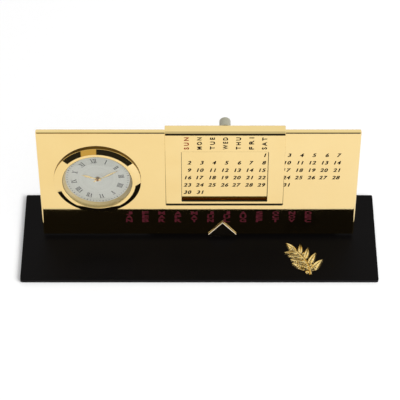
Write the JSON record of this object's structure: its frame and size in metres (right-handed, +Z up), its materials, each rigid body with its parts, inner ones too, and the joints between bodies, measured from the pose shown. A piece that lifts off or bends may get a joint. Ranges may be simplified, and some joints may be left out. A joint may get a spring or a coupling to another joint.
{
  "type": "desk clock with calendar",
  "caption": "Desk clock: black base, leaning polished plate with a round clock let into it, a sliding calendar frame with a window and a sliding month pointer.",
  "frame": {"origin": "middle of the base's underside, on the surface it stands on", "axes": "+X to the right along the width, +Y to the back, +Z up"},
  "size_m": [0.205, 0.0614, 0.0836],
  "materials": {
    "satin_black": "satin black paint on steel",
    "felt": "matt black felt",
    "steel": "bright zinc",
    "polished_gold": "mirror polished, gold coloured",
    "black_board": "matt",
    "black_rubber": "matt",
    "black_plastic": "fine matt texture",
    "clear_glass": "clear, flat, polished",
    "gold_plastic": "metallised gold",
    "dial_white": "satin grey-white",
    "white_plastic": "natural",
    "wheel_brass": "fine turned",
    "hand_gold": "polished",
    "cap_copper": "polished, copper coloured",
    "cell_steel": "polished",
    "satin_aluminium": "satin turned",
    "cast_gold": "polished casting"
  },
  "bodies": {
    "stand": {"base_plate": "satin_black", "base_felt": "felt", "stand_bracket": "satin_black", "bracket_screws": "steel", "bracket_nuts": "steel", "main_plate": "polished_gold", "backing_board": "black_board", "plate_nuts": "steel", "case_gasket": "black_rubber", "clock_case": "black_plastic", "clock_bezel": "polished_gold", "crystal": "clear_glass", "inner_ring": "gold_plastic", "dial": "dial_white", "movement_ring": "white_plastic", "movement": "black_plastic", "button_cell": "cell_steel", "cell_contacts": "wheel_brass", "leaf_sprig": "cast_gold"},
    "frame": {"calendar_frame": "polished_gold", "glide_pads": "felt", "clamp_bush": "steel"},
    "clamp": {"clamp_knob": "satin_aluminium", "clamp_tip": "white_plastic"},
    "pointer": {"month_pointer": "polished_gold"},
    "minute": {"minute_hand": "hand_gold", "hand_cap": "cap_copper", "minute_arbor": "steel"},
    "hour": {"hour_hand": "hand_gold", "hour_wheel": "wheel_brass"},
    "motion": {"motion_wheel": "wheel_brass", "setting_knob": "black_plastic"},
    "cap": {"battery_cap": "black_plastic"}
  },
  "joints": [
    {"name": "frame_slide", "type": "slide", "parent": "stand", "child": "frame", "axis": [1, 0, 0], "range_m": [-0.013, 0.04185]},
    {"name": "clamp_turn", "type": "hinge", "parent": "frame", "child": "clamp", "pos_m": [0.01425, 0.02094, 0.07822], "axis": [0, 0.9848, -0.1736], "range_deg": [0, 360]},
    {"name": "pointer_slide", "type": "slide", "parent": "stand", "child": "pointer", "axis": [1, 0, 0], "range_m": [-0.0537, 0.0493]},
    {"name": "minute_turn", "type": "hinge", "parent": "stand", "child": "minute", "pos_m": [-0.0574, 0.00764, 0.04804], "axis": [0, 0.9903, -0.1392], "continuous": true},
    {"name": "hour_turn", "type": "hinge", "parent": "stand", "child": "hour", "pos_m": [-0.0574, 0.00764, 0.04804], "axis": [0, 0.9903, -0.1392], "continuous": true},
    {"name": "setting_turn", "type": "hinge", "parent": "stand", "child": "motion", "pos_m": [-0.05656, 0.01177, 0.04146], "axis": [0, 0.9903, -0.1392], "continuous": true},
    {"name": "battery_cap_turn", "type": "hinge", "parent": "stand", "child": "cap", "pos_m": [-0.05844, 0.02204, 0.05352], "axis": [0, 0.9903, -0.1392], "range_deg": [0, 45]}
  ],
  "couplings": [
    {"joint": "hour_turn", "follows": "minute_turn", "ratio": 0.083333},
    {"joint": "setting_turn", "follows": "minute_turn", "ratio": -0.33333}
  ]
}
